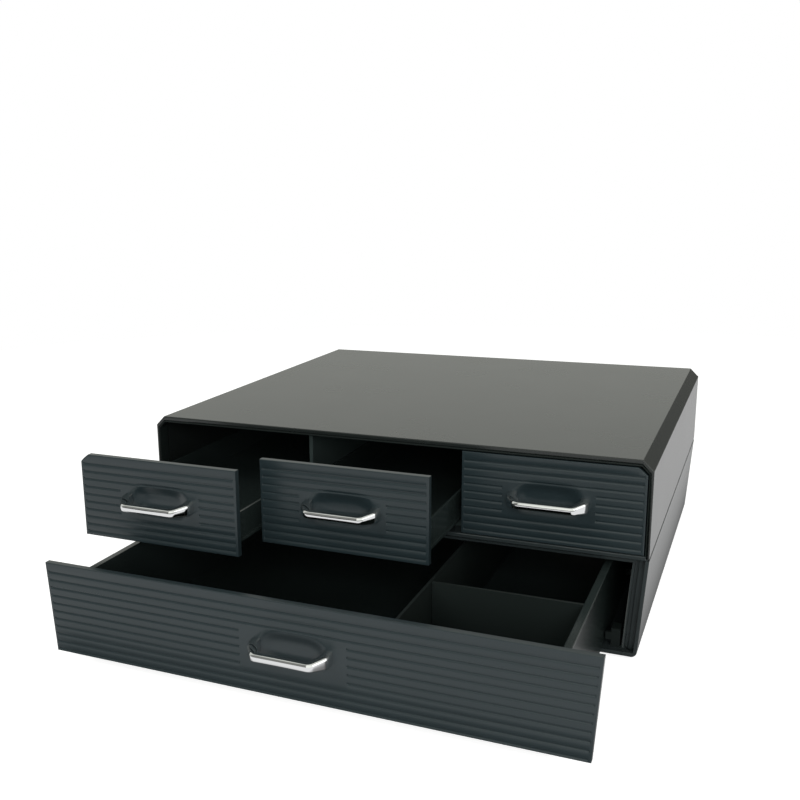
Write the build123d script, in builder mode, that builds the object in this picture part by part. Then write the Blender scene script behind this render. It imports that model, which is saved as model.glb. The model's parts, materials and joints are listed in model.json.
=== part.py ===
"""Two-tier drawer unit that stands under a coffee machine and keeps pods and tea bags.

The upper tier holds three shallow pod drawers side by side. The lower tier, whose sides lean
inwards towards the floor, holds one wide drawer with loose dividers. Every drawer has a ribbed
front with a pressed finger recess and a bow handle.

Frame: X to the right, Y from the drawer fronts to the back, Z up. The origin is the middle of
the case's footprint on the surface that it stands on. Millimetres.
"""
import os

from build123d import *

# ---------------------------------------------------------------- case, overall
case_width = 360.0       # across the deck
case_depth = 324.0       # front rims to the back
foot_height = 1.5        # feet, below the case floor
lower_height = 65.7      # lower case, underside to top edge
seam_height = 1.7        # shelf edge that shows as a shadow line between the tiers
upper_height = 63.6      # cover, from the shadow line to the deck
deck_chamfer = 6.9       # long top edges of the deck, at 45 degrees
side_taper = 4.5         # how far each lower side leans in at the floor
corner_round = 4.0       # lower long edges of the lower case
edge_round = 0.8         # moulded outer edges

# ---------------------------------------------------------------- case, walls
cover_wall = 2.0
deck_thickness = 2.9
mouth_frame_wall = 0.8   # liner frame inside the mouth of the cover, at the sides
mouth_frame_top = 1.4    # the same frame, under the deck
mouth_frame_depth = 10.0
back_thickness = 2.4
partition_thickness = 3.0
partition_setback = 14.0  # partitions start this far behind the front rim
outer_bay_extra = 5.2    # outer bays are this much wider than the centre one, inside
shelf_recess = 1.0       # shelf edge, inside the outer faces
shelf_plateau = 1.6      # raised middle of the shelf, inside the cover's walls
stop_lip_drop = 3.7      # lip under the shelf that stops the wide drawer
stop_lip_thickness = 2.0
lower_wall = 2.3
floor_thickness = 2.5
stop_lip_round = 0.9
stop_lip_inset = 6.2     # lip's ends, from the lower walls
post_width = 8.1         # corner posts inside the lower case
post_depth = 12.0
post_groove_width = 2.5
post_groove_inset = 4.0  # groove in each front post, from the wall's inner face
post_groove_depth = 3.0
post_screw_inset = 7.8   # screw into each post, behind the post's front face
slide_rib_height = 0.5   # ribs that the wide tray slides on
slide_rib_width = 4.0
slide_rib_spacing = 88.0
slide_rib_count = 4
foot_radius = 8.0
foot_inset_x = 28.0      # corner feet, from the floor's long edges
foot_inset_y = 20.0      # corner feet, from front and back
foot_chamfer = 0.4

# ---------------------------------------------------------------- clearances
fit_gap = 0.2            # piece located inside another of the case
slide_gap = 0.3          # under or over a sliding surface
side_gap = 0.4           # beside a sliding surface
seat_gap = 0.4           # closed drawer to its stop
panel_gap = 0.8          # between neighbouring drawer fronts
rim_gap = 0.6            # small drawer front to the mouth frame
top_gap = 0.8            # small drawer front to the mouth frame's top bar
wide_front_gap = 2.2     # wide drawer front to the lower case's sides
wide_top_gap = 0.3       # wide drawer front, below the shelf's front edge
wide_bottom_gap = 2.6    # wide drawer front, above the case floor
hole_gap = 0.15          # around a screw's shank
cut_margin = 1.0         # how far a cutting shape starts in front of the face that it cuts

# ---------------------------------------------------------------- drawer fronts
small_front_thickness = 4.2
wide_front_thickness = 4.2
front_corner_relief = 0.2  # outer top corners, chamfered this much more than the mouth's
line_pitch = 5.27        # ribbed lines
line_top_margin = 5.2    # first line, below the front's top edge
line_depth = 0.75        # under each line's overhang
line_lip_depth = 0.3     # where the steep part of the groove ends
line_lip_height = 0.8
line_height = 3.3        # whole height over which the groove runs out
line_end_margin = 1.6    # lines stop short of the front's edges
small_line_count = 10
wide_line_count = 11
lines_above_zone_count = 3  # whole lines above those that break at the handle
small_zone_line_count = 4
wide_zone_line_count = 5
small_zone_width = 59.6
wide_zone_width = 69.0

# ---------------------------------------------------------------- finger recess and handle
recess_depth = 3.2
recess_top = 13.2        # above the middle of the smooth zone
recess_shoulder = 7.0
recess_bottom = 8.0      # below it
recess_top_half = 16.5
recess_shoulder_half = 22.0
recess_bottom_half = 17.5
recess_wall_angle = 32.0
small_handle_raise = 1.4  # middle of the handle's feet, above the middle of the smooth zone
wide_handle_raise = 2.6
outer_handle_shift = 1.5  # outer drawers' handles sit this much towards the middle drawer
handle_reach = 15.9      # bar's outer face to the drawer front
bar_half = 19.4          # half of the straight bar, outside
bar_thickness = 4.4
bar_top = 1.5            # bar, above the middle of the feet
bar_bottom = 2.8         # bar, below it
foot_half = 26.2         # handle feet, outer faces
foot_width = 5.7
foot_half_height = 4.3
foot_depth = 5.6         # straight part of each foot
arm_thickness = 4.0      # arms, where they meet the bar
arm_bottom = 3.0         # arms' lower edge at the bar, below the middle of the feet

# ---------------------------------------------------------------- trays
small_tray_height = 19.3
small_tray_length = 300.0
small_tray_wall = 1.8
flange_width = 1.5       # runner flange along each side of a small tray
flange_thickness = 2.0
runner_web_thickness = 0.5  # runner, between the flange's edge and the partition
runner_height = 6.2      # runner's bearing face, above the shelf
runner_width = 5.5
runner_lip = 2.0         # runner's hold-down lip, its height
upstand_height = 11.0    # small tray's low front wall
wide_tray_side_space = 23.7  # beside the wide tray, to the lower case's inner faces at their top
wide_tray_height = 54.8
wide_tray_length = 294.0
wide_tray_wall = 2.6
wide_tray_floor = 2.0
rim_overhang = 2.0       # rim of the wide tray, outside its walls
rim_thickness = 1.6
divider_thickness = 1.8
divider_drop = 0.3       # dividers end this far below the rim
long_divider_x = 57.3
cross_divider_y = 79.0   # behind the wide front's outer face

# ---------------------------------------------------------------- stops
small_travel = 230.0     # full travel of a small drawer, closed to stopped
wide_travel = 250.0
catch_height = 5.0       # catch on a runner, and lug under a small tray
catch_length = 4.0
catch_width = 4.0
lug_drop = 4.0
guide_block_width = 5.7
guide_block_height = 12.5
guide_block_length = 10.0
guide_block_setback = 6.0  # behind the front rim
guide_block_gap = 4.4    # guide block, from the wide tray's wall
hook_reach = 3.6         # hook of a guide block, towards the tray
hook_rise = 4.5          # above the case floor
hook_height = 5.0
hook_thickness = 3.0
wide_lug_reach = 3.2
wide_lug_length = 6.0

# ---------------------------------------------------------------- screws
screw_radius = 1.25
screw_head_radius = 2.6
screw_head_height = 1.6
cross_length_share = 0.65  # recess in a screw's head, as a share of the head's width
cross_width_share = 0.15
handle_screw_bite = 4.5
case_screw_radius = 1.75
case_screw_head_radius = 3.6
case_screw_length = 14.0
front_screw_x = 40.0     # small drawer, from its middle
wide_screw_x = 120.0     # wide drawer, from its middle
wide_screw_rise = 14.0   # wide drawer, from its tray's floor and below its rim
front_screw_bite = 2.6
back_screw_inset = 12.0
back_boss_size = 8.0     # bosses in the cover for the upper back's screws
back_boss_depth = 10.0

# ---------------------------------------------------------------- how far each drawer stands open
left_open = 94.4
centre_open = 64.2
right_open = 0.0
wide_open = 138.7

# ---------------------------------------------------------------- levels and planes worked out
half_width = case_width / 2
y_front = -case_depth / 2
y_back = case_depth / 2
z_floor = foot_height
z_floor_top = z_floor + floor_thickness
z_lower_top = z_floor + lower_height
z_cover = z_lower_top + seam_height
z_shelf = z_cover + shelf_plateau
z_deck = z_cover + upper_height
z_ceiling = z_deck - deck_thickness
y_back_inside = y_back - back_thickness
cover_inside = half_width - cover_wall
mouth_half = cover_inside - mouth_frame_wall
mouth_top = z_ceiling - mouth_frame_top
centre_bay = (2 * cover_inside - 2 * outer_bay_extra - 2 * partition_thickness) / 3
inner_wall = centre_bay / 2
partition_x = inner_wall + partition_thickness / 2

small_tray_half = inner_wall - runner_web_thickness - side_gap - flange_width
wide_tray_half = half_width - lower_wall - wide_tray_side_space

small_front_bottom = z_shelf + seat_gap
small_front_top = mouth_top - top_gap
wide_front_bottom = z_floor_top + wide_bottom_gap
wide_front_top = z_lower_top - wide_top_gap
small_tray_z = z_shelf + runner_height + slide_gap
wide_tray_z = z_floor_top + slide_rib_height + slide_gap
wide_rim_z = wide_tray_z + wide_tray_height

small_zone_middle = lines_above_zone_count + (small_zone_line_count - 1) / 2
wide_zone_middle = lines_above_zone_count + (wide_zone_line_count - 1) / 2
small_zone_z = small_front_top - line_top_margin - line_pitch * small_zone_middle
wide_zone_z = wide_front_top - line_top_margin - line_pitch * wide_zone_middle
small_handle_z = small_zone_z + small_handle_raise
wide_handle_z = wide_zone_z + wide_handle_raise
z_hook = z_floor_top + hook_rise + hook_height / 2
foot_inner = foot_half - foot_width
handle_screw_x = (foot_half + foot_inner) / 2
outer_front_x = mouth_half - rim_gap
outer_bay_x = (outer_front_x + partition_x + panel_gap / 2) / 2
outer_grip_x = outer_bay_x - outer_handle_shift

os.makedirs("parts", exist_ok=True)


def upright(y):
    """Plane across the case at depth y, seen from the front: its x is X and its y is Z."""
    return Plane.XZ.offset(-y)


def lower_half(z, inset=0.0):
    """Half-width of the leaning lower case at height z, less an inset."""
    return half_width - side_taper * (z_lower_top - z) / lower_height - inset


def leaning_strip(side, z_low, z_high, inset, width):
    """Corners of a strip that follows one leaning side, from its inset inwards."""
    return [
        (side * lower_half(z_low, inset), z_low), (side * lower_half(z_low, inset + width), z_low),
        (side * lower_half(z_high, inset + width), z_high), (side * lower_half(z_high, inset), z_high),
    ]


def arch(half, bottom, top, corner):
    """Corners of a cross-section with a flat foot and chamfered top corners."""
    return [
        (-half, bottom), (-half, top - corner), (-half + corner, top),
        (half - corner, top), (half, top - corner), (half, bottom),
    ]


def inner_corner(corner, side_wall, top_wall):
    """Chamfer of the inner outline, so that the slanted wall is as thick as the others."""
    return corner - (2 - 2 ** 0.5) * (side_wall + top_wall) / 2


def pan_screw(radius, head_radius, head_height, length):
    """Pan-head screw with a cross recess, its head's seat at the location in hand."""
    Cylinder(radius, length, align=(Align.CENTER, Align.CENTER, Align.MAX))
    Cylinder(head_radius, head_height, align=(Align.CENTER, Align.CENTER, Align.MIN))
    slot = (2 * cross_length_share * head_radius, 2 * cross_width_share * head_radius)
    for across, along in (slot, slot[::-1]):
        with Locations((0, 0, head_height)):
            Box(across, along, head_height, mode=Mode.SUBTRACT)


def save(piece, label):
    piece.part.label = label
    export_step(piece.part, f"parts/{label}.step")


cover_corner = inner_corner(deck_chamfer, cover_wall, deck_thickness)
mouth_corner = inner_corner(cover_corner, mouth_frame_wall, mouth_frame_top)
front_corner = mouth_corner + front_corner_relief
back_half = cover_inside - fit_gap
back_top = z_ceiling - fit_gap
upper_screws = [
    (side * (back_half - back_screw_inset), z)
    for side in (-1, 1) for z in (z_shelf + back_screw_inset, back_top - back_screw_inset)
]
lower_screws = [
    (side * lower_half(z, lower_wall + post_width / 2), z)
    for side in (-1, 1) for z in (z_floor_top + back_screw_inset, z_lower_top - 2 * back_screw_inset)
]
y_wide_seat = y_front + wide_front_thickness + seat_gap
y_post = y_wide_seat + stop_lip_thickness
post_screws = [
    (side * lower_half(z_lower_top, lower_wall + post_width / 2), y)
    for side in (-1, 1) for y in (y_post + post_screw_inset, y_back_inside - post_depth + post_screw_inset)
]

# ================================================================ upper tier
with BuildPart() as upper_cover:
    with BuildSketch(upright(y_back)):
        Polygon(*arch(half_width, z_cover, z_deck, deck_chamfer))
    extrude(amount=case_depth)
    rounded = upper_cover.edges().filter_by(lambda e: e.center().Z > z_cover + edge_round)
    fillet(rounded.filter_by(Axis.Y) + rounded.filter_by_position(Axis.Y, y_front, y_front), edge_round)
    with BuildSketch(upright(y_back)):
        Polygon(*arch(cover_inside, z_cover, z_ceiling, cover_corner))
    extrude(amount=case_depth, mode=Mode.SUBTRACT)
    with BuildSketch(upright(y_back_inside)):
        for x, z in upper_screws:
            reach = cover_inside - abs(x) + back_boss_size / 2
            with Locations(((cover_inside - reach / 2) * (1 if x > 0 else -1), z)):
                Rectangle(reach, back_boss_size)
    extrude(amount=back_boss_depth)
    with BuildSketch(upright(y_back_inside)):
        with Locations(*upper_screws):
            Circle(screw_radius + hole_gap)
    extrude(amount=back_boss_depth, mode=Mode.SUBTRACT)
save(upper_cover, "upper_cover")

with BuildPart() as mouth_frame:
    with BuildSketch(upright(y_front + mouth_frame_depth)):
        Polygon(*arch(cover_inside, z_shelf, z_ceiling, cover_corner))
        Polygon(*arch(mouth_half, z_shelf, mouth_top, mouth_corner), mode=Mode.SUBTRACT)
    extrude(amount=mouth_frame_depth)
    front_face = mouth_frame.faces().sort_by(Axis.Y)[0]
    seam_edges = front_face.edges().filter_by(
        lambda e: abs(e.center().X) + max(0, e.center().Z - z_ceiling + cover_corner) > cover_inside - 0.01
        or e.center().Z > z_ceiling - 0.01)
    chamfer(seam_edges, mouth_frame_wall / 2)
save(mouth_frame, "upper_mouth_frame")

with BuildPart() as upper_back:
    with BuildSketch(upright(y_back)):
        Polygon(*arch(back_half, z_shelf, back_top, cover_corner))
        with Locations(*upper_screws):
            Circle(screw_radius + hole_gap, mode=Mode.SUBTRACT)
    extrude(amount=back_thickness)
save(upper_back, "upper_back_panel")

partition_length = y_back_inside - y_front - partition_setback
for side, label in ((-1, "partition_left"), (1, "partition_right")):
    with BuildPart() as partition:
        with BuildSketch(Plane.XY.offset(z_shelf)):
            with Locations((side * partition_x, y_back_inside - partition_length / 2)):
                Rectangle(partition_thickness, partition_length)
        extrude(amount=z_ceiling - z_shelf)
    save(partition, label)

with BuildPart() as shelf:
    shelf_depth = case_depth - shelf_recess
    with BuildSketch(Plane.XY.offset(z_lower_top)):
        with Locations((0, y_front + shelf_depth / 2)):
            Rectangle(2 * (half_width - shelf_recess), shelf_depth)
    extrude(amount=seam_height)
    with BuildSketch(Plane.XY.offset(z_cover)):
        with Locations((0, y_front + shelf_depth / 2)):
            Rectangle(2 * (cover_inside - fit_gap), shelf_depth)
    extrude(amount=shelf_plateau)
    with BuildSketch(Plane.XY.offset(z_lower_top)):
        with Locations((0, y_wide_seat + stop_lip_thickness / 2)):
            Rectangle(2 * (half_width - lower_wall - stop_lip_inset), stop_lip_thickness)
    extrude(amount=-stop_lip_drop)
    fillet(shelf.edges().filter_by(Axis.X).group_by(Axis.Z)[0], stop_lip_round)
    with Locations(*[(x, y, z_shelf) for x, y in post_screws]):
        CounterBoreHole(case_screw_radius + hole_gap, case_screw_head_radius + fit_gap,
                        screw_head_height + fit_gap)
save(shelf, "middle_shelf")

# ---------------------------------------------------------------- runners of the small drawers
flange_half = small_tray_half + flange_width
runner_inner = flange_half - runner_width
runner_web = flange_half + side_gap
lip_inner = small_tray_half + side_gap
z_bearing = z_shelf + runner_height
z_lip = small_tray_z + flange_thickness + slide_gap
y_runner = y_front + partition_setback
y_tray_closed = y_front + small_front_thickness + small_tray_length
y_stop = y_tray_closed + seat_gap
y_catch = y_tray_closed - catch_length - small_travel
bays = (
    ("left", -outer_bay_x, cover_inside - outer_bay_x, outer_bay_x - inner_wall - partition_thickness),
    ("centre", 0.0, inner_wall, inner_wall),
    ("right", outer_bay_x, outer_bay_x - inner_wall - partition_thickness, cover_inside - outer_bay_x),
)
for name, centre, reach_left, reach_right in bays:
    with BuildPart() as runners:
        for side, reach in ((-1, reach_left), (1, reach_right)):
            with BuildSketch(upright(y_stop)):
                Polygon(*[(centre + side * x, z) for x, z in (
                    (reach, z_shelf), (runner_inner, z_shelf), (runner_inner, z_bearing),
                    (runner_web, z_bearing), (runner_web, z_lip), (lip_inner, z_lip),
                    (lip_inner, z_lip + runner_lip), (reach, z_lip + runner_lip),
                )])
            extrude(amount=y_stop - y_runner)
            with BuildSketch(upright(y_stop + catch_length)):
                Polygon(*[(centre + side * x, z) for x, z in (
                    (reach, z_shelf), (runner_inner, z_shelf),
                    (runner_inner, z_lip + runner_lip), (reach, z_lip + runner_lip),
                )])
            extrude(amount=catch_length)
            with BuildSketch(upright(y_catch)):
                Polygon(*[(centre + side * x, z) for x, z in (
                    (runner_inner, z_shelf), (runner_inner - catch_width, z_shelf),
                    (runner_inner - catch_width, z_shelf + catch_height),
                    (runner_inner, z_shelf + catch_height),
                )])
            extrude(amount=catch_length)
    save(runners, f"{name}_runners")

# ================================================================ lower tier
with BuildPart() as lower_case:
    with BuildSketch(upright(y_back)) as section:
        low, high = lower_half(z_floor), lower_half(z_lower_top)
        Polygon((-low, z_floor), (low, z_floor), (high, z_lower_top), (-high, z_lower_top))
        fillet(section.vertices().group_by(Axis.Y)[0], corner_round)
        low, high = lower_half(z_floor_top, lower_wall), lower_half(z_lower_top, lower_wall)
        Polygon((-low, z_floor_top), (low, z_floor_top), (high, z_lower_top), (-high, z_lower_top),
                mode=Mode.SUBTRACT)
    extrude(amount=case_depth)
    for y_rear in (y_post + post_depth, y_back_inside):
        with BuildSketch(upright(y_rear)):
            for side in (-1, 1):
                Polygon(*leaning_strip(side, z_floor_top, z_lower_top, lower_wall, post_width))
        extrude(amount=post_depth)
    with BuildSketch(upright(y_post + post_groove_depth)):
        for side in (-1, 1):
            Polygon(*leaning_strip(side, z_floor_top, z_lower_top, lower_wall + post_groove_inset,
                                   post_groove_width))
    extrude(amount=post_groove_depth, mode=Mode.SUBTRACT)
    with BuildSketch(Plane.XY.offset(z_floor_top)):
        with Locations((0, (y_wide_seat + y_back_inside) / 2)):
            with GridLocations(slide_rib_spacing, 1, slide_rib_count, 1):
                Rectangle(slide_rib_width, y_back_inside - y_wide_seat)
    extrude(amount=slide_rib_height)
    with Locations(*[(x, y, z_lower_top) for x, y in post_screws]):
        Hole(case_screw_radius + hole_gap, case_screw_length)
    with BuildSketch(upright(y_back_inside)):
        with Locations(*lower_screws):
            Circle(screw_radius + hole_gap)
    extrude(amount=back_boss_depth, mode=Mode.SUBTRACT)
save(lower_case, "lower_case")

with BuildPart() as lower_back:
    with BuildSketch(upright(y_back)):
        z_top = z_lower_top - fit_gap
        low, high = lower_half(z_floor_top, lower_wall + fit_gap), lower_half(z_top, lower_wall + fit_gap)
        Polygon((-low, z_floor_top), (low, z_floor_top), (high, z_top), (-high, z_top))
        with Locations(*lower_screws):
            Circle(screw_radius + hole_gap, mode=Mode.SUBTRACT)
    extrude(amount=back_thickness)
save(lower_back, "lower_back_panel")

y_block = y_front + guide_block_setback
block_inner = wide_tray_half + guide_block_gap
for side, label in ((-1, "guide_block_left"), (1, "guide_block_right")):
    with BuildPart() as guide_block:
        with BuildSketch(upright(y_block + guide_block_length)):
            with Locations((side * (block_inner + guide_block_width / 2),
                            z_floor_top + guide_block_height / 2)):
                Rectangle(guide_block_width, guide_block_height)
        extrude(amount=guide_block_length)
        with BuildSketch(upright(y_block + hook_thickness)):
            with Locations((side * (block_inner - hook_reach / 2), z_hook)):
                Rectangle(hook_reach, hook_height)
        extrude(amount=hook_thickness)
    save(guide_block, label)

with BuildPart() as feet:
    with BuildSketch():
        Circle(foot_radius)
        with GridLocations(2 * (lower_half(z_floor) - foot_inset_x), case_depth - 2 * foot_inset_y, 2, 2):
            Circle(foot_radius)
    extrude(amount=foot_height)
    chamfer(feet.edges().group_by(Axis.Z)[0], foot_chamfer)
save(feet, "rubber_feet")

# ---------------------------------------------------------------- fasteners of the case
with BuildPart() as case_screws:
    z_seat = z_shelf - screw_head_height - fit_gap
    with Locations(*[(x, y, z_seat) for x, y in post_screws]):
        pan_screw(case_screw_radius, case_screw_head_radius, screw_head_height, case_screw_length - fit_gap)
save(case_screws, "case_screws")

with BuildPart() as back_screws:
    with Locations(*[Plane((x, y_back, z), z_dir=(0, 1, 0)) for x, z in upper_screws + lower_screws]):
        pan_screw(screw_radius, screw_head_radius, screw_head_height,
                  back_thickness + back_boss_depth - fit_gap)
save(back_screws, "back_panel_screws")


# ================================================================ drawers
def line_levels(top, count):
    """Heights of the ribbed lines of a front whose top edge is given."""
    return [top - line_top_margin - line_pitch * i for i in range(count)]


def line_profile(y_face, z, bottom):
    """Corners of one ribbed line's groove: an overhang, a steep lip and a long run-out.

    The run-out ends above the front's bottom edge.
    """
    proud = y_face - cut_margin
    z_end = max(z - line_height, bottom + line_lip_depth + fit_gap)
    return [
        (proud, z), (y_face + line_depth, z), (y_face + line_lip_depth, z - line_lip_height),
        (y_face, z_end), (proud, z_end),
    ]


def ribbed_lines(y_face, outline, levels, bottom, zone_x, zone_width, zone_lines):
    """Grooves across an outline, left out of the smooth zone around the handle."""
    with BuildPart() as lines:
        for z in levels:
            with BuildSketch(Plane.YZ.offset(-half_width)):
                Polygon(*line_profile(y_face, z, bottom))
            extrude(amount=case_width)
        with BuildSketch(upright(y_face + line_depth)):
            Polygon(*outline)
            zone_top = levels[lines_above_zone_count] + fit_gap
            zone_bottom = levels[lines_above_zone_count + zone_lines - 1] - line_height - fit_gap
            with Locations((zone_x, (zone_top + zone_bottom) / 2)):
                Rectangle(zone_width, zone_top - zone_bottom, mode=Mode.SUBTRACT)
        extrude(amount=line_depth + cut_margin, mode=Mode.INTERSECT)
    return lines.part


def recess_corners(x, z):
    """Corners of the finger recess in a smooth zone whose middle is x, z."""
    half_shape = ((recess_top_half, recess_top), (recess_shoulder_half, recess_shoulder),
                  (recess_bottom_half, -recess_bottom))
    return [(x + a, z + b) for a, b in half_shape] + [(x - a, z + b) for a, b in half_shape[::-1]]


def drawer_handle(label, x, y_face, z, screw_depth):
    """Bow handle: straight bar, splayed arms that grow taller, short straight feet centred at x, z."""
    def mirrored(half_shape):
        return [(x + a, b) for a, b in half_shape] + [(x - a, b) for a, b in half_shape[::-1]]

    y_outer, y_inner = y_face - handle_reach, y_face - handle_reach + bar_thickness
    with BuildPart() as handle:
        with BuildSketch(Plane.XY.offset(z - foot_half_height)):
            Polygon(*mirrored([(foot_half, y_face), (foot_half, y_face - foot_depth), (bar_half, y_outer)]))
            Polygon(*mirrored([(foot_inner, y_face), (foot_inner, y_face - foot_depth),
                               (bar_half - arm_thickness, y_inner)]), mode=Mode.SUBTRACT)
        extrude(amount=foot_half_height + max(foot_half_height, bar_top))
        with BuildSketch(upright(y_face)):
            Polygon(*mirrored([(foot_half, z + foot_half_height), (bar_half, z + bar_top)]),
                    *mirrored([(bar_half - bar_thickness, z - bar_bottom), (bar_half, z - arm_bottom),
                               (foot_half, z - foot_half_height)])[::-1])
        extrude(amount=handle_reach, mode=Mode.INTERSECT)
        with BuildSketch(upright(y_face)):
            with Locations((x - handle_screw_x, z), (x + handle_screw_x, z)):
                Circle(screw_radius + hole_gap)
        extrude(amount=screw_depth, mode=Mode.SUBTRACT)
    save(handle, label)


def screw_group(label, y_seat, length, points):
    """Screws driven forwards, their heads' seats at depth y_seat."""
    with BuildPart() as screws:
        with Locations(*[Plane((x, y_seat, z), z_dir=(0, 1, 0)) for x, z in points]):
            pan_screw(screw_radius, screw_head_radius, screw_head_height, length)
    save(screws, label)


def small_drawer(name, centre, grip_x, x_low, x_high, opened):
    y_face = y_front - opened
    y_rear = y_face + small_front_thickness
    y_end = y_rear + small_tray_length
    z_upstand = small_tray_z + upstand_height / 2
    handle_points = [(grip_x - handle_screw_x, small_handle_z), (grip_x + handle_screw_x, small_handle_z)]
    front_points = [(centre - front_screw_x, z_upstand), (centre + front_screw_x, z_upstand)]

    line_low, line_high = x_low + line_end_margin, x_high - line_end_margin
    lines = ribbed_lines(
        y_face,
        [(line_low, small_front_bottom), (line_high, small_front_bottom),
         (line_high, small_front_top), (line_low, small_front_top)],
        line_levels(small_front_top, small_line_count), small_front_bottom,
        grip_x, small_zone_width, small_zone_line_count)
    with BuildPart() as front:
        with BuildSketch(upright(y_rear)) as face:
            Polygon((x_low, small_front_bottom), (x_high, small_front_bottom),
                    (x_high, small_front_top), (x_low, small_front_top))
            outer_corners = face.vertices().filter_by(
                lambda v: abs(v.X) > outer_front_x - panel_gap and v.Y > small_handle_z)
            if outer_corners:
                chamfer(outer_corners, front_corner)
        extrude(amount=small_front_thickness)
        fillet(front.faces().sort_by(Axis.Y)[0].edges(), line_lip_depth)
        add(lines, mode=Mode.SUBTRACT)
        with BuildSketch(upright(y_face)):
            Polygon(*recess_corners(grip_x, small_zone_z))
        extrude(amount=-recess_depth, taper=recess_wall_angle, mode=Mode.SUBTRACT)
        with BuildSketch(upright(y_rear)):
            with Locations(*handle_points):
                Circle(screw_radius + hole_gap)
        extrude(amount=small_front_thickness, mode=Mode.SUBTRACT)
        with BuildSketch(upright(y_rear)):
            with Locations(*front_points):
                Circle(screw_radius + hole_gap)
        extrude(amount=front_screw_bite + fit_gap, mode=Mode.SUBTRACT)
    save(front, f"{name}_drawer_front")

    with BuildPart() as tray:
        with BuildSketch(Plane.XY.offset(small_tray_z)):
            with Locations((centre, (y_rear + y_end) / 2)):
                Rectangle(2 * flange_half, small_tray_length)
        extrude(amount=flange_thickness)
        with BuildSketch(Plane.XY.offset(small_tray_z)):
            with Locations((centre, (y_rear + y_end) / 2)):
                Rectangle(2 * small_tray_half, small_tray_length)
        extrude(amount=small_tray_height)
        with BuildSketch(Plane.XY.offset(small_tray_z + small_tray_wall)):
            with Locations((centre, (y_rear + y_end) / 2)):
                Rectangle(2 * (small_tray_half - small_tray_wall), small_tray_length - 2 * small_tray_wall)
        extrude(amount=small_tray_height, mode=Mode.SUBTRACT)
        with BuildSketch(Plane.XY.offset(small_tray_z + upstand_height)):
            with Locations((centre, y_rear + small_tray_wall / 2)):
                Rectangle(2 * (small_tray_half - small_tray_wall), small_tray_wall)
        extrude(amount=small_tray_height, mode=Mode.SUBTRACT)
        with BuildSketch(Plane.XY.offset(small_tray_z)):
            for side in (-1, 1):
                with Locations((centre + side * (runner_inner - side_gap - catch_width / 2),
                                y_end - catch_length / 2)):
                    Rectangle(catch_width, catch_length)
        extrude(amount=-lug_drop)
        with BuildSketch(upright(y_rear + small_tray_wall)):
            with Locations(*front_points):
                Circle(screw_radius + hole_gap)
        extrude(amount=small_tray_wall, mode=Mode.SUBTRACT)
    save(tray, f"{name}_drawer_tray")

    drawer_handle(f"{name}_drawer_handle", grip_x, y_face, small_handle_z, handle_screw_bite + fit_gap)
    screw_group(f"{name}_drawer_handle_screws", y_rear,
                small_front_thickness + handle_screw_bite, handle_points)
    screw_group(f"{name}_drawer_front_screws", y_rear + small_tray_wall,
                small_tray_wall + front_screw_bite, front_points)


inner_front_x = partition_x - panel_gap / 2
small_drawer("left", -outer_bay_x, -outer_grip_x, -outer_front_x, -partition_x - panel_gap / 2, left_open)
small_drawer("centre", 0, 0, -inner_front_x, inner_front_x, centre_open)
small_drawer("right", outer_bay_x, outer_grip_x, partition_x + panel_gap / 2, outer_front_x, right_open)

# ---------------------------------------------------------------- wide drawer
y_wide = y_front - wide_open
y_wide_rear = y_wide + wide_front_thickness
y_wide_inside = y_wide_rear + wide_tray_wall
y_wide_end = y_wide_rear + wide_tray_length
z_wide_floor = wide_tray_z + wide_tray_floor
wide_inside_half = wide_tray_half - wide_tray_wall
front_inset = lower_wall + wide_front_gap
wide_handle_points = [(-handle_screw_x, wide_handle_z), (handle_screw_x, wide_handle_z)]
wide_front_points = [
    (side * wide_screw_x, z) for side in (-1, 1)
    for z in (z_wide_floor + wide_screw_rise, wide_rim_z - wide_screw_rise)
]



def wide_outline(inset):
    """Corners of the wide front, whose ends lean with the case, less an inset at both ends."""
    z_low, z_high = wide_front_bottom, wide_front_top
    low, high = lower_half(z_low, inset), lower_half(z_high, inset)
    return [(-low, z_low), (low, z_low), (high, z_high), (-high, z_high)]


wide_lines = ribbed_lines(
    y_wide, wide_outline(front_inset + line_end_margin), line_levels(wide_front_top, wide_line_count),
    wide_front_bottom, 0, wide_zone_width, wide_zone_line_count)
with BuildPart() as wide_front:
    with BuildSketch(upright(y_wide_rear)):
        Polygon(*wide_outline(front_inset))
    extrude(amount=wide_front_thickness)
    fillet(wide_front.faces().sort_by(Axis.Y)[0].edges(), line_lip_depth)
    add(wide_lines, mode=Mode.SUBTRACT)
    with BuildSketch(upright(y_wide)):
        Polygon(*recess_corners(0, wide_zone_z))
    extrude(amount=-recess_depth, taper=recess_wall_angle, mode=Mode.SUBTRACT)
    with BuildSketch(upright(y_wide_rear)):
        with Locations(*wide_handle_points):
            Circle(screw_radius + hole_gap)
    extrude(amount=wide_front_thickness, mode=Mode.SUBTRACT)
    with BuildSketch(upright(y_wide_rear)):
        with Locations(*wide_front_points):
            Circle(screw_radius + hole_gap)
    extrude(amount=front_screw_bite + fit_gap, mode=Mode.SUBTRACT)
save(wide_front, "wide_drawer_front")

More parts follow.
